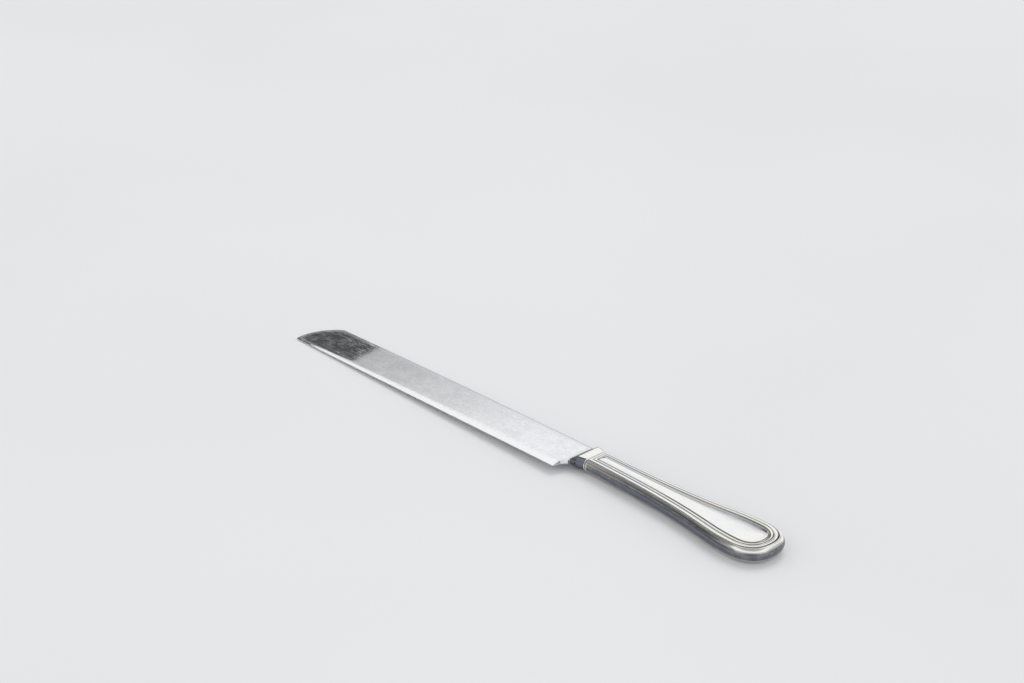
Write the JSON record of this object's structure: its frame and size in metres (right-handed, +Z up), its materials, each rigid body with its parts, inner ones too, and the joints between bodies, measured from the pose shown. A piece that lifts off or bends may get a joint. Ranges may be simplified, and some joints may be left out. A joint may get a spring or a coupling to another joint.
{
  "type": "cake knife",
  "caption": "Cake knife lying on its side: long flat blade with a rounded end, rectangular collar and hollow thread-bordered handle that widens to a round butt.",
  "frame": {"origin": "middle of the flat land under the handle, on which the knife rests", "axes": "+X along the handle to the butt, so the blade points to -X with its cutting edge at -Y; +Z up, square to the flat of the handle"},
  "size_m": [0.3196, 0.0323, 0.0085],
  "materials": {
    "blade_steel": "satin",
    "polished_silver": "polished, with fine wear",
    "handle_cement": "matte, hidden inside the handle"
  },
  "bodies": {
    "root": {"blade": "blade_steel", "collar": "polished_silver", "upper_shell": "polished_silver", "lower_shell": "polished_silver", "handle_filler": "handle_cement"}
  },
  "joints": []
}
